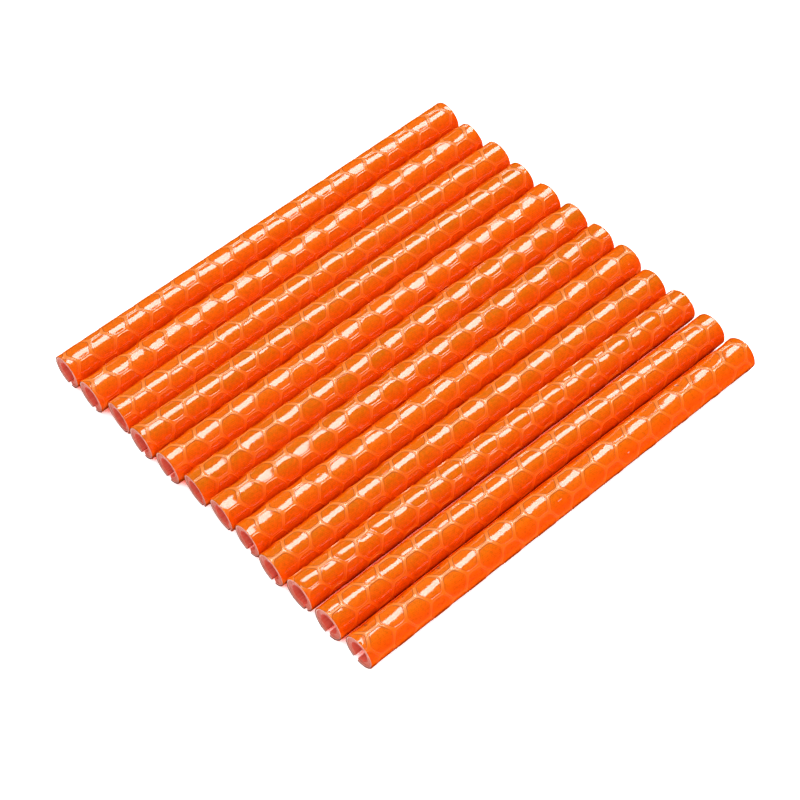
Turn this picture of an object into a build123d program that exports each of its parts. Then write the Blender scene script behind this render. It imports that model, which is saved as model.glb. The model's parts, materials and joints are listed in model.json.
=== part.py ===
from build123d import *

import os
from math import asin, cos, degrees, radians, sin, tan

# A row of clip-on reflector tubes for bicycle spokes, lying side by side on the ground.
# Each tube is a slit plastic clip, wrapped in a backing film and a prismatic face film.
# +X runs across the row, +Y along the tubes and +Z up. The origin is on the ground, under
# the middle of the row. Lengths are in millimetres and angles in degrees.

# One tube
LENGTH = 75.0
BORE_RADIUS = 1.6
CLIP_RADIUS = 2.4
BACKING_THICKNESS = 0.12
FACE_THICKNESS = 0.18
SLIT_WIDTH = 0.6
LIP_RADIUS = 0.12
# The films were trimmed longer than the clip at the near end.
CLIP_SETBACK = 0.12

BACKING_RADIUS = CLIP_RADIUS + BACKING_THICKNESS
TUBE_RADIUS = BACKING_RADIUS + FACE_THICKNESS
# The films stop where the clip's lips start to round off.
LIP_CENTRE = SLIT_WIDTH / 2 + LIP_RADIUS
FILM_SLIT_WIDTH = 2 * LIP_CENTRE * CLIP_RADIUS / (CLIP_RADIUS - LIP_RADIUS)
FILM_SLIT_HALF_ANGLE = degrees(asin(FILM_SLIT_WIDTH / 2 / TUBE_RADIUS))

# The row: clear gaps between neighbours, and for each tube how far it has slid lengthwise,
# how far its slit has rolled from straight down towards +X, and how far off square its
# near end was sheared.
GAPS = [0.28, 0.1, 0.1, 0.28, 0.1, 0.1, 0.14, 0.3, 0.1, 0.6, 0.5]
SLIDES = [-0.1, -0.3, 0.2, -0.1, 0.0, 0.2, 0.3, 0.35, -0.35, 0.0, -0.1, 0.0]
ROLLS = [6, 8, 38, 2, 0, 40, 40, 2, 8, 30, -3, -16]
SHEARS = [3.5, 4, 7, 4, 3.5, 8, 7, 4, 4, 2, 0.5, 2]

# A sheared end is longest on the upper +X side, half way between the side and the top.
LONG_SIDE = 45
# The stock reaches this far past the near end before the end is sheared.
SHEAR_ALLOWANCE = 1.0


def axis_positions():
    """The X of each tube's axis, with the row centred on the origin."""
    row_width = 2 * TUBE_RADIUS * len(GAPS) + sum(GAPS)
    positions = [-row_width / 2]
    for gap in GAPS:
        positions.append(positions[-1] + 2 * TUBE_RADIUS + gap)
    return positions


def axis_height(roll):
    """The height of a tube's axis when the tube rests on its skin, or on the slit's edge."""
    edge_angle = max(0, FILM_SLIT_HALF_ANGLE - abs(roll))
    return TUBE_RADIUS * cos(radians(edge_angle))


def section_plane(x, slide, roll):
    """The plane of a tube's far end, facing -Y, with the slit along its own -Y."""
    turn = radians(roll)
    far_end = (x, slide + LENGTH / 2, axis_height(roll))
    return Plane(origin=far_end, x_dir=(cos(turn), 0, sin(turn)), z_dir=(0, -1, 0))


def shear_plane(x, slide, roll, shear):
    """The plane that a tube's near end is cut along, facing into the tube."""
    side = cos(radians(LONG_SIDE))
    up = sin(radians(LONG_SIDE))
    longest_line = (x + TUBE_RADIUS * side, slide - LENGTH / 2, axis_height(roll) + TUBE_RADIUS * up)
    lean = tan(radians(shear))
    return Plane(origin=longest_line, z_dir=(lean * side, 1, lean * up))


def slit(width):
    """Cut the slit out of a ring, from its centre down."""
    Rectangle(width, 2 * TUBE_RADIUS, align=(Align.CENTER, Align.MAX), mode=Mode.SUBTRACT)


def make_clip(section, near_cut):
    """The extruded C-section clip, with rounded lips at its slit."""
    with BuildPart() as clip:
        with BuildSketch(section) as profile:
            Circle(CLIP_RADIUS)
            Circle(BORE_RADIUS, mode=Mode.SUBTRACT)
            slit(SLIT_WIDTH)
            fillet(profile.vertices(), radius=LIP_RADIUS)
        extrude(amount=LENGTH + SHEAR_ALLOWANCE)
        split(bisect_by=near_cut.offset(CLIP_SETBACK), keep=Keep.TOP)
    return clip.part


def make_film(section, near_cut, inner_radius, outer_radius):
    """A film that is wrapped round the clip from lip to lip."""
    with BuildPart() as film:
        with BuildSketch(section):
            Circle(outer_radius)
            Circle(inner_radius, mode=Mode.SUBTRACT)
            slit(FILM_SLIT_WIDTH)
        extrude(amount=LENGTH + SHEAR_ALLOWANCE)
        split(bisect_by=near_cut, keep=Keep.TOP)
    return film.part


def save(part, name):
    """Label a piece and write it to its own file."""
    part.label = name
    export_step(part, f"parts/{name}.step")


os.makedirs("parts", exist_ok=True)

row = zip(axis_positions(), SLIDES, ROLLS, SHEARS)
for number, (x, slide, roll, shear) in enumerate(row, start=1):
    section = section_plane(x, slide, roll)
    near_cut = shear_plane(x, slide, roll, shear)
    save(make_clip(section, near_cut), f"clip_{number:02d}")
    backing = make_film(section, near_cut, CLIP_RADIUS, BACKING_RADIUS)
    save(backing, f"backing_film_{number:02d}")
    face = make_film(section, near_cut, BACKING_RADIUS, TUBE_RADIUS)
    save(face, f"prism_film_{number:02d}")
    print(f"tube_{number:02d} axis at x {x:.3f}, y {slide:.3f}, z {axis_height(roll):.4f}")
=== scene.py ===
import json
import random
from math import atan2, ceil, cos, floor as round_down, pi, radians, sin, sqrt, tan

import bmesh
import bpy
from mathutils import Matrix, Vector


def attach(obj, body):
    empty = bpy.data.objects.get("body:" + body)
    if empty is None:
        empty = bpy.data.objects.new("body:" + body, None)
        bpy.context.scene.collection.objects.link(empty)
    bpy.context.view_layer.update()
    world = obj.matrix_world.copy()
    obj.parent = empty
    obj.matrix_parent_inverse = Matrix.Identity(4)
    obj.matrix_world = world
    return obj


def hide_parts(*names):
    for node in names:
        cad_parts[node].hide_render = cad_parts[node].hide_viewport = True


# A row of twelve clip-on spoke reflector tubes on a pale floor. The slit clips and their
# backing films are the CAD nodes. The honeycomb face films are built here, because their
# welded cells are real relief. Mesh code works in millimetres and is scaled once at the end.

MM = 0.001
random.seed(12)

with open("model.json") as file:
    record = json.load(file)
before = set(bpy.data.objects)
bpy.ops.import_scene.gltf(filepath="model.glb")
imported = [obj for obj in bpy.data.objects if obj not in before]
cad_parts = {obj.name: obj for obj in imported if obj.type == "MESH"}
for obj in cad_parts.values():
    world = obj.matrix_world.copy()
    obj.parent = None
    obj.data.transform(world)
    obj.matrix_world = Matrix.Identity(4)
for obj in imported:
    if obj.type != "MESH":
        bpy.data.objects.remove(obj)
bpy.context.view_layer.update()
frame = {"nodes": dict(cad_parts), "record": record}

# ---------------------------------------------------------------- the tubes

FILM_RADIUS = 2.7               # outside of the face film, at the top of a weld bead
BACKING_RADIUS = 2.52           # inside of the face film
LENGTH = 75.0
FILM_SLIT_HALF_ANGLE = 9.424    # from the middle of the slit to the film's side (degrees)
FILM_HALF_ANGLE = 180 - FILM_SLIT_HALF_ANGLE    # from the film's middle to its side

# A sheared near end is longest in this direction, from +X towards +Z (degrees).
LONG_SIDE = 45.0
LONG_X = cos(radians(LONG_SIDE))
LONG_Z = sin(radians(LONG_SIDE))

# Degrees that each slit has rolled from straight down towards +X, and that each near end leans.
ROLLS = [6, 8, 38, 2, 0, 40, 40, 2, 8, 30, -3, -16]
SHEARS = [3.5, 4, 7, 4, 3.5, 8, 7, 4, 4, 2, 0.5, 2]

# Distances round a tube are measured over its film from the top, and grow towards -X.
# The honeycomb on each film: one cell's centre along the tube and round it (mm), and how
# far the film was wrapped off square (degrees).
LATTICES = [
    (1.6, -1.2, 0.0), (0.85, 0.75, 0.35), (-3.5, -0.25, -0.35), (1.5, -0.3, -0.85),
    (3.1, 0.35, 0.8), (-0.1, 0.2, 0.6), (-2.6, 0.4, -0.3), (-3.75, 1.25, 0.75),
    (0.0, -0.1, 0.0), (-2.75, 0.2, -0.3), (0.1, -0.35, -0.4), (1.7, -0.15, -0.75),
]
# How far each film's cells bulge between their edges and middles (mm). Under 0 they dish.
CROWNS = [0.06, -0.09, 0.06, 0.05, -0.08, -0.09, -0.1, -0.1, -0.06, 0.16, 0.08, -0.11]
# The bulge fades out between these distances round the film from the top (mm).
FLANK_START = 2.2
FLANK_END = 4.2
# How olive each film's prisms look, from 0 to 1.
OLIVES = [0.2, 0.15, 0.3, 0.65, 0.2, 0.7, 0.75, 0.25, 0.55, 0.55, 0.3, 0.1]

# ---------------------------------------------------------------- the honeycomb relief

CELL_PERIOD = 6.62                      # along the tube, between cells in one row
ROW_STEP = CELL_PERIOD / 2              # along the tube, between one row and the next
CELL_FLATS = CELL_PERIOD / sqrt(3)      # across flats, round the tube
HALF_CELL = CELL_FLATS / 2
CORNER_RADIUS = 0.6                     # of a cell, where it meets the weld
CELL_EDGE = 0.3                         # from the middle of the weld to the cell
EDGE_HEIGHT = -0.06
# Height of the film against the distance from the middle of a weld.
WELD_PROFILE = [(0.0, -0.06), (0.06, -0.05), (0.11, -0.012), (0.15, 0.0), (0.19, -0.014),
                (0.25, -0.055), (CELL_EDGE, EDGE_HEIGHT)]
# Further rings inside a cell, by their distance from the middle of the weld.
CELL_INSETS = [0.5, 0.85, 1.3]
# A ring's corner radius inside a cell, as a share of its apothem: at the edge, and how
# much that grows towards the middle, up to a full circle.
EDGE_ROUNDING = 0.44
ROUNDING_GROWTH = 0.7
# Directions round a cell, from one corner to the next (degrees).
CORNER_STEPS = [0, 6, 13, 21, 30, 39, 47, 54]
DIRECTIONS = [60 * side + step for side in range(6) for step in CORNER_STEPS]

# How much single cells differ: olive tone, slope along and round the tube (degrees), and
# bulge (mm).
TONE_SPREAD = 0.18
TILT_ALONG = 0.7
TILT_AROUND = 0.9
CROWN_SPREAD = 0.012
# A cell's tilt sets in over this distance from its edge.
TILT_FADE = 0.3
# Cells' centres reach this far past the film's ends and sides before the film is trimmed.
END_SPARE = 3.0
SIDE_SPARE = 2.3
# Neighbouring cells share the vertices along the middle of their weld. Two are the same when
# they are this close (mm), rounded to this many digits.
SHARED_GRID = 0.001
SHARED_DIGITS = 3


def clamp(value):
    """The value, kept between 0 and 1."""
    return min(1.0, max(0.0, value))


def ring_radius(inset, rounding, direction):
    """How far a rounded hexagon reaches in a direction (degrees from a corner)."""
    apothem = HALF_CELL - inset
    from_flat = abs((direction % 60) - 30)
    straight = (apothem - rounding) * tan(radians(30))
    if apothem * tan(radians(from_flat)) <= straight:
        return apothem / cos(radians(from_flat))
    centre = (apothem - rounding) / cos(radians(30))
    off_corner = radians(30 - from_flat)
    return centre * cos(off_corner) + sqrt(max(0, rounding**2 - (centre * sin(off_corner))**2))


def ring_rounding(inset):
    """Corner radius of the ring at a distance from the weld's middle."""
    if inset == 0:
        return 0.0
    if inset <= CELL_EDGE:
        return CORNER_RADIUS + CELL_EDGE - inset
    apothem = HALF_CELL - inset
    share = (inset - CELL_EDGE) / (HALF_CELL - CELL_EDGE)
    return apothem * min(1.0, EDGE_ROUNDING + ROUNDING_GROWTH * share)


def ring_points(inset):
    """One ring of a cell, as distances along and round the tube from the cell's centre."""
    points = []
    for direction in DIRECTIONS:
        radius = ring_radius(inset, ring_rounding(inset), direction)
        points.append((radius * cos(radians(direction)), radius * sin(radians(direction))))
    return points


RINGS = [(inset, ring_points(inset)) for inset in [place for place, _ in WELD_PROFILE] + CELL_INSETS]


def film_height(inset, crown):
    """Height at a distance from the middle of a weld, for cells with a given crown."""
    # A cell whose middle would stand past FILM_RADIUS sinks, welds and all, until it is level.
    sunk = min(0.0, -EDGE_HEIGHT - crown)
    for (d0, h0), (d1, h1) in zip(WELD_PROFILE, WELD_PROFILE[1:]):
        if inset <= d1:
            return h0 + (h1 - h0) * (inset - d0) / (d1 - d0) + sunk
    share = (HALF_CELL - inset) / (HALF_CELL - CELL_EDGE)
    return EDGE_HEIGHT + crown * (1 - share**2) + sunk


def lattice_steps(low, high, spacing):
    """The whole steps between two places, with some to spare at both ends."""
    return range(round_down(low / spacing) - 1, ceil(high / spacing) + 2)


def snapped(along, around):
    """A place on the grid that decides which vertices are the same."""
    return round(along, SHARED_DIGITS), round(around, SHARED_DIGITS)


def find_shared(shared, along, around):
    """The vertex that a neighbouring cell has already made at a place, if there is one."""
    for off_along in (0, -SHARED_GRID, SHARED_GRID):
        for off_around in (0, -SHARED_GRID, SHARED_GRID):
            place = snapped(along + off_along, around + off_around)
            if place in shared:
                return shared[place]
    return None


def flat_honeycomb(tube):
    """The film laid flat: vertices (along, around, height), their insets and tones, and faces."""
    first_along, first_around, skew = tube["lattice"]
    slant = tan(radians(skew))
    low_side, high_side = tube["edges"]
    vertices, insets, tones, faces = [], [], [], []
    shared = {}
    reach = LENGTH / 2 + END_SPARE

    def add(place, inset, tone):
        vertices.append(place)
        insets.append(inset)
        tones.append(tone)
        return len(vertices) - 1

    for step in lattice_steps(-reach - first_along, reach - first_along, ROW_STEP):
        along = first_along + step * ROW_STEP
        drift = first_around + slant * (along - first_along) + (HALF_CELL if step % 2 else 0)
        for row in lattice_steps(low_side - drift, high_side - drift, CELL_FLATS):
            around = drift + row * CELL_FLATS
            tone = clamp(tube["olive"] + random.uniform(-TONE_SPREAD, TONE_SPREAD))
            tilt_along = radians(random.gauss(0, TILT_ALONG))
            tilt_around = radians(random.gauss(0, TILT_AROUND))
            crown = tube["crown"] + random.uniform(-CROWN_SPREAD, CROWN_SPREAD)
            crown *= clamp((FLANK_END - abs(around)) / (FLANK_END - FLANK_START))
            if not (low_side - SIDE_SPARE < around < high_side + SIDE_SPARE):
                continue
            rings = []
            for inset, points in RINGS:
                fade = clamp((inset - CELL_EDGE) / TILT_FADE)
                ring = []
                for ahead, aside in points:
                    place = (along + ahead, around + aside + slant * ahead)
                    height = film_height(inset, crown) + fade * (ahead * tilt_along + aside * tilt_around)
                    if inset > 0:
                        ring.append(add((*place, height), inset, tone))
                        continue
                    key = snapped(*place)
                    found = find_shared(shared, *key)
                    if found is None:
                        found = shared[key] = add((*place, height), 0.0, tube["olive"])
                    ring.append(found)
                rings.append(ring)
            middle = add((along, around, film_height(HALF_CELL, crown)), HALF_CELL, tone)
            for outer, inner in zip(rings, rings[1:]):
                for i in range(len(DIRECTIONS)):
                    j = (i + 1) % len(DIRECTIONS)
                    faces.append((outer[i], outer[j], inner[j], inner[i]))
            for i in range(len(DIRECTIONS)):
                faces.append((rings[-1][i], rings[-1][(i + 1) % len(DIRECTIONS)], middle))
    return vertices, insets, tones, faces


# ---------------------------------------------------------------- the wrapped films

# Vertices this close to a cutting plane lie on it.
CUT_TOLERANCE = 1e-5
# How close a border vertex lies to the sheared end, or to the film's side.
END_TOLERANCE = 1e-3
SIDE_TOLERANCE = 2e-3
INNER_STRIPS = 24
# The film's cut edge gets painted shade, strongest towards this direction from the tube's axis,
# measured from +X towards +Z (degrees). The foot of its walls is painted dark most of the way
# round. Their outer edge is painted dark on that side only, and only in the tube's near half.
RIM_SHADE_DIRECTION = 230
FOOT_RIM_SHADE = 1.2
OUTER_RIM_SHADE = 1.6


def near_end_y(x, z, tube):
    """Where the sheared near end of a tube is, at an x and z from its axis."""
    lean = tan(radians(tube["shear"]))
    off = (x - FILM_RADIUS * LONG_X) * LONG_X + (z - FILM_RADIUS * LONG_Z) * LONG_Z
    return tube["slide"] - LENGTH / 2 - lean * off


def cut(mesh, point, normal):
    """Cut away what lies on the side that the normal points to."""
    bmesh.ops.bisect_plane(mesh, geom=mesh.verts[:] + mesh.edges[:] + mesh.faces[:],
                           dist=CUT_TOLERANCE, plane_co=point, plane_no=normal, clear_outer=True)


def flat_film(tube):
    """The flat honeycomb as a mesh, trimmed to the film's two sides, and its data layers."""
    vertices, insets, tones, faces = flat_honeycomb(tube)
    mesh = bmesh.new()
    layers = {name: mesh.verts.layers.float.new(name) for name in ("inset", "tone", "rim_shade")}
    layers["flat"] = mesh.verts.layers.float_vector.new("flat")
    made = []
    for place, inset, tone in zip(vertices, insets, tones):
        vert = mesh.verts.new(place)
        vert[layers["inset"]] = inset
        vert[layers["tone"]] = tone
        made.append(vert)
    for face in faces:
        mesh.faces.new([made[i] for i in face])
    low_side, high_side = tube["edges"]
    cut(mesh, (0, low_side, 0), (0, -1, 0))
    cut(mesh, (0, high_side, 0), (0, 1, 0))
    return mesh, layers


def wrap(mesh, layers, tube, index):
    """Wrap the flat film round an axis along Y through the origin, and cut its two ends."""
    for vert in mesh.verts:
        along, around, height = vert.co
        # The index sets each film's grain apart from the others'.
        vert[layers["flat"]] = (along, around, index)
        turn = pi / 2 + around / FILM_RADIUS
        radius = FILM_RADIUS + height
        vert.co = (radius * cos(turn), along, radius * sin(turn))
    lean = tan(radians(tube["shear"]))
    longest = (FILM_RADIUS * LONG_X, tube["slide"] - LENGTH / 2, FILM_RADIUS * LONG_Z)
    cut(mesh, longest, Vector((-lean * LONG_X, -1, -lean * LONG_Z)).normalized())
    cut(mesh, (0, tube["slide"] + LENGTH / 2, 0), (0, 1, 0))
    for face in mesh.faces:
        face.smooth = True


def boundary_loop(mesh):
    """The film's border as one ring of vertices."""
    edges = [edge for edge in mesh.edges if edge.is_boundary]
    neighbours = {}
    for edge in edges:
        first, second = edge.verts
        neighbours.setdefault(first, []).append(second)
        neighbours.setdefault(second, []).append(first)
    start = edges[0].verts[0]
    loop, last, here = [start], None, start
    while True:
        following = [vert for vert in neighbours[here] if vert is not last]
        last, here = here, following[0]
        if here is start:
            break
        loop.append(here)
    assert len(loop) == len(neighbours), "the film's border is in more than one piece"
    return loop


def add_walls(mesh, layers, tube):
    """Wall the film's border down to the backing. Gives the vertices at the walls' foot."""
    outer = boundary_loop(mesh)
    inner = []
    for vert in outer:
        x, y, z = vert.co
        turn = atan2(z, x)
        foot_x, foot_z = BACKING_RADIUS * cos(turn), BACKING_RADIUS * sin(turn)
        if y < 0 and abs(y - near_end_y(x, z, tube)) < END_TOLERANCE:
            y = near_end_y(foot_x, foot_z, tube)
        twin = mesh.verts.new((foot_x, y, foot_z))
        for name in ("inset", "tone", "flat"):
            twin[layers[name]] = vert[layers[name]]
        # Painted shade on the film's cut edge, strongest in one direction from the axis.
        towards_rim = cos(turn - radians(RIM_SHADE_DIRECTION))
        twin[layers["rim_shade"]] = FOOT_RIM_SHADE + towards_rim
        if y < 0:
            vert[layers["rim_shade"]] = max(0.0, OUTER_RIM_SHADE * towards_rim)
        inner.append(twin)
    for i in range(len(outer)):
        j = (i + 1) % len(outer)
        mesh.faces.new((outer[i], outer[j], inner[j], inner[i]))
    return inner


def strip_stops(end, around, edges):
    """Where the inner strips meet one end: places in the border, sorted round the film."""
    low, high = edges
    stops = [end[0]]
    for k in range(1, INNER_STRIPS):
        target = low + (high - low) * k / INNER_STRIPS
        stops.append(min(end, key=lambda i: abs(around[i] - target)))
    return stops + [end[-1]]


def add_inner_skin(mesh, layers, inner, tube):
    """Close the inside with strips that run from the near end to the far end."""
    count = len(inner)
    around = [vert[layers["flat"]][1] for vert in inner]
    low_side, high_side = ({i for i in range(count) if abs(around[i] - edge) < SIDE_TOLERANCE}
                           for edge in tube["edges"])
    sides = low_side | high_side
    on_end = [i for i in range(count) if not {(i - 1) % count, i, (i + 1) % count} <= sides]
    on_end.sort(key=lambda i: around[i])
    near = [i for i in on_end if inner[i].co.y < 0]
    far = [i for i in on_end if inner[i].co.y > 0]
    near_stops = strip_stops(near, around, tube["edges"])
    far_stops = strip_stops(far, around, tube["edges"])

    def run(first, last, allowed):
        """Places in the border between two others, whichever way round stays among the allowed."""
        forward = [(first + k) % count for k in range((last - first) % count + 1)]
        backward = [(first - k) % count for k in range((first - last) % count + 1)]
        return forward if set(forward) <= allowed else backward

    for k in range(INNER_STRIPS):
        ring = run(near_stops[k], near_stops[k + 1], set(near))
        if k == INNER_STRIPS - 1:
            ring = ring[:-1] + run(near_stops[-1], far_stops[-1], high_side)[:-1]
        ring += run(far_stops[k + 1], far_stops[k], set(far))
        if k == 0:
            ring = ring[:-1] + run(far_stops[0], near_stops[0], low_side)[:-1]
        mesh.faces.new([inner[i] for i in ring])


def make_film(index, tube):
    """A closed face film with its welded honeycomb, wrapped on one tube."""
    mesh, layers = flat_film(tube)
    wrap(mesh, layers, tube, index)
    inner = add_walls(mesh, layers, tube)
    add_inner_skin(mesh, layers, inner, tube)
    bmesh.ops.recalc_face_normals(mesh, faces=mesh.faces[:])
    for vert in mesh.verts:
        vert.co = (vert.co + Vector((tube["x"], 0, tube["z"]))) * MM
    data = bpy.data.meshes.new(f"honeycomb_film_{index:02d}")
    mesh.to_mesh(data)
    mesh.free()
    film = bpy.data.objects.new(data.name, data)
    bpy.context.scene.collection.objects.link(film)
    return film


# ---------------------------------------------------------------- materials

BLACK = (0.0, 0.0, 0.0)
WHITE = (1.0, 1.0, 1.0)
# Most of a noise texture's values lie between these.
NOISE = (0.3, 0.7)
# The share of a face's normal that lies along the tube: over the first it begins to look like
# a cut end, and over the second it is one.
END_FACING = (0.7, 0.95)

# Below, a noise is its scale (per mm), detail and roughness. Four numbers in a row are two
# values of a pattern, and what they become.


class Shading:
    """A node material with a Principled shader, and short calls to add nodes to it."""

    def __init__(self, name, **constants):
        self.material = bpy.data.materials.new(name)
        self.material.use_nodes = True
        self.tree = self.material.node_tree
        self.shader = self.tree.nodes["Principled BSDF"]
        for socket, value in constants.items():
            self.shader.inputs[socket.replace("_", " ")].default_value = value

    def node(self, kind, *values, **settings):
        node = self.tree.nodes.new(kind)
        for name, value in settings.items():
            setattr(node, name, value)
        for socket, value in zip(node.inputs, values):
            self.feed(socket, value)
        return node

    def feed(self, socket, value):
        if isinstance(value, bpy.types.NodeSocket):
            self.tree.links.new(value, socket)
        else:
            socket.default_value = value

    def math(self, operation, *values):
        return self.node("ShaderNodeMath", *values, operation=operation).outputs[0]

    def attribute(self, name, output="Fac"):
        return self.node("ShaderNodeAttribute", attribute_name=name).outputs[output]

    def metres(self):
        return self.node("ShaderNodeTexCoord").outputs["Object"]

    def millimetres(self):
        scale = (1 / MM, 1 / MM, 1 / MM)
        return self.node("ShaderNodeVectorMath", self.metres(), scale, operation="MULTIPLY").outputs[0]

    def on_cut_end(self):
        """1 on the ends that the saw cut, and 0 along the tube."""
        normal = self.node("ShaderNodeTexCoord").outputs["Normal"]
        facing = self.math("ABSOLUTE", self.split(normal)[1])
        return self.spread(facing, *END_FACING, 0.0, 1.0)

    def split(self, vector):
        return self.node("ShaderNodeSeparateXYZ", vector).outputs

    def stretched(self, coordinates, scale):
        mapping = self.node("ShaderNodeMapping", coordinates, vector_type="POINT")
        mapping.inputs["Scale"].default_value = scale
        return mapping.outputs[0]

    def noise(self, coordinates, scale, detail, roughness):
        node = self.node("ShaderNodeTexNoise")
        self.feed(node.inputs["Vector"], coordinates)
        node.inputs["Scale"].default_value = scale
        node.inputs["Detail"].default_value = detail
        node.inputs["Roughness"].default_value = roughness
        return node.outputs["Fac"]

    def spread(self, value, low, high, new_low, new_high):
        return self.node("ShaderNodeMapRange", value, low, high, new_low, new_high).outputs[0]

    def ramp(self, value, stops):
        node = self.node("ShaderNodeValToRGB", value)
        elements = node.color_ramp.elements
        while len(elements) < len(stops):
            elements.new(0.5)
        for element, (place, colour) in zip(elements, stops):
            element.position = place
            element.color = (*colour, 1)
        return node.outputs["Color"]

    def mix(self, factor, a, b, blend="MIX"):
        # A mix node's inputs 6 and 7 and its output 2 are the ones for colours.
        node = self.tree.nodes.new("ShaderNodeMix")
        node.data_type = "RGBA"
        node.blend_type = blend
        self.feed(node.inputs[0], factor)
        for socket, value in ((node.inputs[6], a), (node.inputs[7], b)):
            self.feed(socket, (*value, 1) if isinstance(value, tuple) else value)
        return node.outputs[2]

    def tint(self, colour, by):
        return self.mix(1.0, colour, by, "MULTIPLY")

    def bump(self, height, distance):
        node = self.tree.nodes.new("ShaderNodeBump")
        node.inputs["Strength"].default_value = 1.0
        node.inputs["Distance"].default_value = distance
        self.feed(node.inputs["Height"], height)
        return node.outputs["Normal"]

    def finish(self, **sockets):
        for socket, value in sockets.items():
            self.feed(self.shader.inputs[socket.replace("_", " ")], value)
        return self.material


# Film colour against the distance from the tube's palest line, where its painted light is
# strongest, which runs just to the -X side of its top (mm), as a share of ORANGE_REACH. This is
# painted light and shade: the film is painted paler and yellower near that line, redder on the
# flanks, and dark on the underside near the ground.
PAINTED_LIGHT_LINE = 0.47
ORANGE_REACH = 6.5
ORANGES_PAINTED_LIGHT_AND_SHADE = [(0.06, (0.92, 0.155, 0.001)), (0.15, (0.95, 0.165, 0.001)), (0.22, (0.94, 0.152, 0.001)),
           (0.29, (0.93, 0.12, 0.0)), (0.43, (0.97, 0.093, 0.0)), (0.52, (1.0, 0.08, 0.0)),
           (0.65, (1.0, 0.105, 0.0)), (0.72, (0.92, 0.088, 0.0)), (0.79, (0.45, 0.04, 0.0))]
# What multiplies that colour, against the distance from the middle of a weld as a share of
# WELD_REACH: the weld's own tint, and how strong the thin dark line of painted shade at a
# cell's border is.
WELD_REACH = 0.5
WELD_TINTS = [(0.0, (1.03, 1.26, 1.9)), (0.3, (1.05, 1.3, 2.4)), (0.42, WHITE)]
CELL_BORDER_SHADE = [(0.4, BLACK), (0.5, WHITE), (0.6, WHITE), (0.76, BLACK)]
CELL_BORDER_SHADE_TINT = (0.45, 0.4, 0.4)
# Painted light: near the palest line the welds are painted a paler, light orange.
WELD_PAINTED_LIGHT_TINT = (1.08, 1.6, 40.0)
# The cells are olive in patches at random, and this olive is also a painted reflection: it is
# kept near the palest line and is least on the flanks.
OLIVE_TINT = (0.79, 0.95, 0.7)
OLIVE_PATCHES = (0.36, 0.62, 0.0, 1.6)
OLIVE_ON_FLANKS = 0.2
# A weld's look gives way to the cell's between these distances from its middle (mm).
CELL_STARTS = (0.24, 0.38)
# Where the olive, the welds' painted light and the cells' painted border shade fade, from the
# palest line (mm), and how strong that painted border shade is before and after.
OLIVE_FADE = (1.5, 3.0)
WELD_PAINTED_LIGHT_FADE = (0.5, 1.6)
CELL_BORDER_SHADE_FADE = (0.9, 1.9)
CELL_BORDER_SHADE_STRENGTHS = (0.85, 0.12)
# Shade from the prisms, the fine grain and the broad clouds. A groove between prisms slopes
# over a share of their pitch, and stands out in the bump by a share of the grain's height.
FILM_GRAIN = (2.6, 3.5, 0.7)
FILM_CLOUD = (1.1, 2.0, 0.5)
PRISM_PITCH = 0.27
PRISM_ANGLES = (90, 30, 150)
GROOVE_SHARE = 0.25
PRISM_SHADE = (-0.12, 0.05)
GROOVE_BUMP_SHARE = 0.25
GRAIN_SHADE = (-0.15, 0.14)
CLOUD_SHADE = (0.93, 1.05)
# Painted shade: the film's edge is painted dark where its rim shade value is high.
RIM_SHADE_COLOUR = (0.12, 0.035, 0.025)
RIM_SHADE_STRENGTHS = (0.2, 1.2, 0.0, 0.9)
WELD_ROUGHNESS = 0.2
CELL_ROUGHNESS = 0.1
GRAIN_ROUGHNESS = (-0.02, 0.03)
FILM_BUMP = 0.0000012


def prism_pattern(s, along, around):
    """Three families of grooves make the prisms' triangles: 0 in a groove, 1 on a prism."""
    ridges = []
    for angle in PRISM_ANGLES:
        across = s.math("ADD", s.math("MULTIPLY", along, cos(radians(angle)) / PRISM_PITCH),
                        s.math("MULTIPLY", around, sin(radians(angle)) / PRISM_PITCH))
        ridges.append(s.math("PINGPONG", across, 0.5))
    lowest = s.math("MINIMUM", s.math("MINIMUM", ridges[0], ridges[1]), ridges[2])
    return s.spread(lowest, 0.0, GROOVE_SHARE, 0.0, 1.0)


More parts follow.
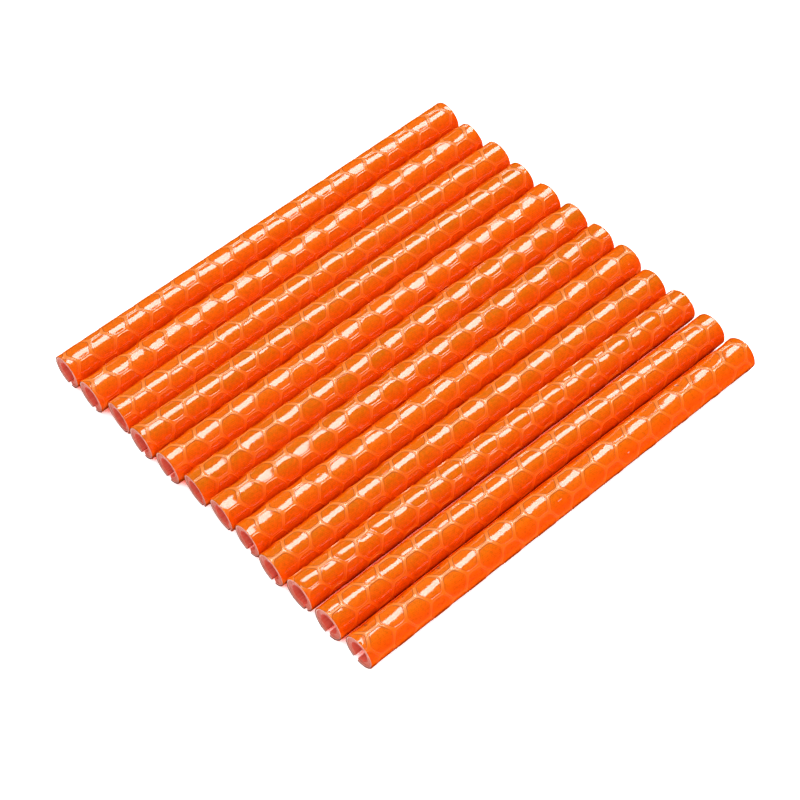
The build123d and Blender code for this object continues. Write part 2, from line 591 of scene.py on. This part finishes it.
def honeycomb_material():
    """Glossy prismatic film: deep orange prism cells inside paler, duller welds, with painted light and
    shade.
    """
    s = Shading("honeycomb_film", IOR=1.55)
    inset = s.attribute("inset")
    tone = s.attribute("tone")
    flat = s.attribute("flat", "Vector")
    along, around, _ = s.split(flat)
    prisms = prism_pattern(s, along, around)
    grain = s.noise(flat, *FILM_GRAIN)
    cloud = s.noise(flat, *FILM_CLOUD)
    in_cell = s.spread(inset, *CELL_STARTS, 0.0, 1.0)
    aside = s.math("ABSOLUTE", s.math("SUBTRACT", around, PAINTED_LIGHT_LINE))
    across_weld = s.math("DIVIDE", inset, WELD_REACH)

    # Painted light and shade round the tube: paler near the palest line, dark on the underside.
    film = s.ramp(s.math("DIVIDE", aside, ORANGE_REACH), ORANGES_PAINTED_LIGHT_AND_SHADE)
    # Olive patches, partly a painted reflection kept near the palest line.
    olive = s.math("MULTIPLY", s.math("MULTIPLY", tone, s.spread(cloud, *OLIVE_PATCHES)),
                   s.spread(aside, *OLIVE_FADE, 1.0, OLIVE_ON_FLANKS))
    olive = s.mix(olive, WHITE, OLIVE_TINT)
    weld = s.ramp(across_weld, WELD_TINTS)
    # Painted light: paler welds near the palest line.
    weld = s.mix(s.spread(aside, *WELD_PAINTED_LIGHT_FADE, 1.0, 0.0), weld, WELD_PAINTED_LIGHT_TINT)
    colour = s.tint(film, s.mix(in_cell, weld, olive))

    # Painted shade: a thin dark line at each cell's border, strongest near the palest line.
    border_shade = s.math("MULTIPLY", s.ramp(across_weld, CELL_BORDER_SHADE), s.spread(aside, *CELL_BORDER_SHADE_FADE, *CELL_BORDER_SHADE_STRENGTHS))
    colour = s.mix(border_shade, colour, s.tint(colour, CELL_BORDER_SHADE_TINT))

    shade = s.math("ADD", s.spread(prisms, 0.0, 1.0, *PRISM_SHADE), s.spread(grain, *NOISE, *GRAIN_SHADE))
    shade = s.math("ADD", s.math("MULTIPLY", shade, in_cell), s.spread(cloud, *NOISE, *CLOUD_SHADE))
    colour = s.tint(colour, s.node("ShaderNodeCombineXYZ", shade, shade, shade).outputs[0])
    # Painted shade on the film's cut edge.
    colour = s.mix(s.spread(s.attribute("rim_shade"), *RIM_SHADE_STRENGTHS), colour, RIM_SHADE_COLOUR)

    rough = s.math("ADD", s.spread(in_cell, 0.0, 1.0, WELD_ROUGHNESS, CELL_ROUGHNESS),
                   s.spread(grain, *NOISE, *GRAIN_ROUGHNESS))
    height = s.math("ADD", s.math("MULTIPLY", prisms, s.math("MULTIPLY", in_cell, GROOVE_BUMP_SHARE)), grain)
    return s.finish(Base_Color=colour, Roughness=rough, Normal=s.bump(height, FILM_BUMP))


# The clip's skin between two shades, and its cut end between two at the bottom and two at
# the top, with the heights above the ground that they blend between (mm). That blend is painted
# light and shade: the cut end is painted darker and redder near the ground and paler at the top.
SKIN_COLOURS = ((0.8, 0.11, 0.06), (0.92, 0.2, 0.14))
LOW_END_PAINTED_SHADE_COLOURS = ((0.5, 0.06, 0.035), (0.72, 0.17, 0.1))
HIGH_END_PAINTED_LIGHT_COLOURS = ((0.66, 0.17, 0.13), (0.84, 0.42, 0.36))
END_HEIGHTS = (1.0, 4.6)
SPECKLE_COLOUR = (0.55, 0.08, 0.04)
SPECKLES = (0.44, 0.58, 0.0, 0.8)
SPECKLE_NOISE = (2.6, 4.0, 0.7)
# Streaks run along the tube, and saw marks lie across its end. Each is a noise that is
# stretched by a scale of its own on each axis.
STREAK_SCALE = (7.0, 0.15, 7.0)
STREAK_NOISE = (1.0, 3.0, 0.5)
SAW_SCALE = (1.4, 1.0, 3.2)
SAW_NOISE = (1.0, 3.0, 0.6)
SKIN_ROUGHNESS = 0.32
CUT_ROUGHNESS = 0.6
CLIP_BUMP = 0.000006


def clip_material():
    """Extruded plastic, paler and rougher where the saw went through it; painted light and shade on that cut.
    """
    s = Shading("clip_plastic", IOR=1.5)
    millimetres = s.millimetres()
    cut_end = s.on_cut_end()
    streaks = s.noise(s.stretched(millimetres, STREAK_SCALE), *STREAK_NOISE)
    marks = s.noise(s.stretched(millimetres, SAW_SCALE), *SAW_NOISE)
    speckle = s.noise(millimetres, *SPECKLE_NOISE)

    skin = s.mix(s.spread(streaks, *NOISE, 0.0, 1.0), *SKIN_COLOURS)
    # Painted shade near the ground on the cut end, and painted light towards its top.
    painted_shade_end, painted_light_end = (s.mix(s.spread(marks, *NOISE, 0.0, 1.0), *colours)
                         for colours in (LOW_END_PAINTED_SHADE_COLOURS, HIGH_END_PAINTED_LIGHT_COLOURS))
    end = s.mix(s.spread(s.split(millimetres)[2], *END_HEIGHTS, 0.0, 1.0), painted_shade_end, painted_light_end)
    end = s.mix(s.spread(speckle, *SPECKLES), end, SPECKLE_COLOUR)
    return s.finish(Base_Color=s.mix(cut_end, skin, end),
                    Roughness=s.spread(cut_end, 0.0, 1.0, SKIN_ROUGHNESS, CUT_ROUGHNESS),
                    Normal=s.bump(s.mix(cut_end, streaks, marks), CLIP_BUMP))


# The backing film between two shades, stained in clouds, and painted shade on its cut edge,
# which is dark near the ground and clears between two heights (mm).
BACKING_COLOURS = ((0.78, 0.42, 0.34), (0.88, 0.52, 0.43))
STAIN_COLOUR = (0.62, 0.3, 0.22)
STAINS = (0.35, 0.65, 0.0, 0.4)
GROUND_SHADE_COLOUR = (0.22, 0.05, 0.035)
GROUND_SHADE = (1.2, 3.4, 0.95, 0.0)
FIBRE_NOISE = (6.0, 4.0, 0.6)
STAIN_NOISE = (0.8, 2.0, 0.5)
BACKING_ROUGHNESS = (0.45, 0.6)
BACKING_BUMP = 0.000004


def backing_material():
    """The pinkish carrier behind the prisms, with a faint fibrous grain and painted shade low on its cut
    edge.
    """
    s = Shading("backing_film", IOR=1.48)
    millimetres = s.millimetres()
    fibres = s.noise(millimetres, *FIBRE_NOISE)
    cloud = s.noise(millimetres, *STAIN_NOISE)
    colour = s.mix(s.spread(fibres, *NOISE, 0.0, 1.0), *BACKING_COLOURS)
    colour = s.mix(s.spread(cloud, *STAINS), colour, STAIN_COLOUR)
    # Painted shade on the cut edge near the ground.
    dark = s.math("MULTIPLY", s.on_cut_end(), s.spread(s.split(millimetres)[2], *GROUND_SHADE))
    colour = s.mix(dark, colour, GROUND_SHADE_COLOUR)
    return s.finish(Base_Color=colour, Roughness=s.spread(fibres, *NOISE, *BACKING_ROUGHNESS),
                    Normal=s.bump(fibres, BACKING_BUMP))


# The floor is pale and glows a little, evenly. In a crevice it is given painted shade and a
# painted orange glow, standing in for the dark orange light from the films beside it. Openness is
# the share of what lies within CREVICE_REACH (m) that is open: under the first value is a
# crevice, and over the second is plain floor.
PAPER_COLOURS = ((0.8, 0.8, 0.8), (0.82, 0.82, 0.82))
PAPER_NOISE = (300.0, 3.0, 0.5)     # its scale is per metre
CREVICE_SHADE_COLOUR = (0.6, 0.14, 0.03)
CREVICE_LIGHT = (0.9, 0.05, 0.0)
FLOOR_GLOW = 0.75
CREVICE_GLOW = 0.8
CREVICE_REACH = 0.006
CREVICE_OPENNESS = (0.2, 0.25)


def floor_material():
    """Smooth pale paper, with painted shade and a painted orange glow in the crevices between the tubes."""
    s = Shading("pale_floor")
    fibres = s.noise(s.metres(), *PAPER_NOISE)
    paper = s.mix(s.spread(fibres, *NOISE, 0.0, 1.0), *PAPER_COLOURS)
    shelter = s.node("ShaderNodeAmbientOcclusion", samples=8)
    shelter.inputs["Distance"].default_value = CREVICE_REACH
    outside = s.spread(shelter.outputs["AO"], *CREVICE_OPENNESS, 0.0, 1.0)
    # Painted shade and a painted orange glow in the crevices.
    return s.finish(Base_Color=s.mix(outside, CREVICE_SHADE_COLOUR, paper), Roughness=0.9,
                    Emission_Color=s.mix(outside, CREVICE_LIGHT, WHITE),
                    Emission_Strength=s.spread(outside, 0.0, 1.0, CREVICE_GLOW, FLOOR_GLOW))


# ---------------------------------------------------------------- build the tubes

film_finish = honeycomb_material()
clip_finish = clip_material()
backing_finish = backing_material()

mounts = {m["name"]: m for m in frame["record"]["mounts"]}
film_values = zip(ROLLS, SHEARS, LATTICES, CROWNS, OLIVES)
for number, (roll, shear, lattice, crown, olive) in enumerate(film_values, start=1):
    x, slide, z = (value / MM for value in mounts[f"spoke_clip_{number:02d}"]["pos_m"])
    # Where the film's two sides lie round the tube.
    edges = tuple(radians(roll + turn) * FILM_RADIUS for turn in (-FILM_HALF_ANGLE, FILM_HALF_ANGLE))
    tube = {"x": x, "slide": slide, "z": z, "shear": shear, "lattice": lattice,
            "crown": crown, "olive": olive, "edges": edges}
    film = make_film(number, tube)
    film.data.materials.append(film_finish)
    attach(film, f"tube_{number:02d}")
    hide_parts(f"prism_film_{number:02d}")
    cad_finishes = {f"clip_{number:02d}": clip_finish, f"backing_film_{number:02d}": backing_finish}
    for node, finish in cad_finishes.items():
        for material_slot in frame["nodes"][node].material_slots:
            material_slot.material = finish

# ---------------------------------------------------------------- floor, light and camera

# Lengths are in metres from here on, except where MM says otherwise.
FLOOR_HALF = 6.0
FLOOR_DROP = 0.00003
floor_corners = [(-FLOOR_HALF, -FLOOR_HALF, -FLOOR_DROP), (FLOOR_HALF, -FLOOR_HALF, -FLOOR_DROP),
                 (FLOOR_HALF, FLOOR_HALF, -FLOOR_DROP), (-FLOOR_HALF, FLOOR_HALF, -FLOOR_DROP)]
floor_data = bpy.data.meshes.new("floor")
floor_data.from_pydata(floor_corners, [], [(0, 1, 2, 3)])
floor = bpy.data.objects.new("floor", floor_data)
floor_data.materials.append(floor_material())
bpy.context.scene.collection.objects.link(floor)
floor.visible_glossy = False


def facing_frame(place, right, up, back):
    """The matrix that stands an object at a place, looking away from its back."""
    return Matrix.Translation(place) @ Matrix((right, up, back)).transposed().to_4x4()


def panel(name, centre, size, radiance, facing=(0, 0, 0), in_gloss=True, in_colour=True):
    """A soft panel light of a given brightness, turned to face a point."""
    light = bpy.data.lights.new(name, "AREA")
    light.shape = "RECTANGLE"
    light.size, light.size_y = size
    light.energy = radiance * pi * size[0] * size[1]
    lamp = bpy.data.objects.new(name, light)
    bpy.context.scene.collection.objects.link(lamp)
    back = (Vector(centre) - Vector(facing)).normalized()
    across = Vector((1, 0, 0))
    across = (across - back * across.dot(back)).normalized()
    lamp.matrix_world = facing_frame(centre, across, back.cross(across), back)
    lamp.visible_camera = False
    lamp.visible_glossy = in_gloss
    lamp.visible_diffuse = in_colour


# The long overhead panel that the cells mirror, a dim card on the far side, and a wide
# fill that lights the colours without showing in the gloss.
PANEL_HEIGHT = 0.75
PANEL_X = (-0.54, -0.07)
PANEL_Y = (0.12, 0.68)
PANEL_RADIANCE = 12.8
CARD_CENTRE = (-1.6, 0.5, 0.6)
CARD_SIZE = (3.0, 1.2)
CARD_RADIANCE = 0.07
FILL_CENTRE = (-0.3, 0.2, 2.2)
FILL_SIZE = (2.4, 2.4)
FILL_RADIANCE = 1.0
WORLD_RADIANCE = 0.95

panel_centre = ((PANEL_X[0] + PANEL_X[1]) / 2, (PANEL_Y[0] + PANEL_Y[1]) / 2, PANEL_HEIGHT)
panel_size = (PANEL_X[1] - PANEL_X[0], PANEL_Y[1] - PANEL_Y[0])
panel("overhead_panel", panel_centre, panel_size, PANEL_RADIANCE,
      facing=(panel_centre[0], panel_centre[1], 0), in_colour=False)
panel("side_card", CARD_CENTRE, CARD_SIZE, CARD_RADIANCE)
panel("wide_fill", FILL_CENTRE, FILL_SIZE, FILL_RADIANCE, in_gloss=False)

world = bpy.data.worlds.new("studio")
bpy.context.scene.world = world
world.use_nodes = True
world.node_tree.nodes["Background"].inputs["Color"].default_value = (*WHITE, 1)
world.node_tree.nodes["Background"].inputs["Strength"].default_value = WORLD_RADIANCE
world.cycles_visibility.glossy = False

TARGET = Vector((4.26, -5.24, 2.7)) * MM
AZIMUTH, ELEVATION, ROLL = radians(45.2), radians(53.57), radians(2.47)
DISTANCE = 339.2 * MM
FOCAL_LENGTH = 107.3    # in millimetres, as is the sensor
SENSOR_WIDTH = 36.0
NEAR_LIMIT = 0.01

back = Vector((sin(AZIMUTH) * cos(ELEVATION), -cos(AZIMUTH) * cos(ELEVATION), sin(ELEVATION)))
right = Vector((cos(AZIMUTH), sin(AZIMUTH), 0))
up = back.cross(right)
camera_data = bpy.data.cameras.new("camera")
camera_data.lens = FOCAL_LENGTH
camera_data.sensor_width = SENSOR_WIDTH
camera_data.clip_start = NEAR_LIMIT
camera = bpy.data.objects.new("camera", camera_data)
bpy.context.scene.collection.objects.link(camera)
camera_right = cos(ROLL) * right + sin(ROLL) * up
camera_up = -sin(ROLL) * right + cos(ROLL) * up
camera.matrix_world = facing_frame(TARGET + back * DISTANCE, camera_right, camera_up, back)
bpy.context.scene.camera = camera
bpy.context.scene.view_settings.view_transform = "Standard"
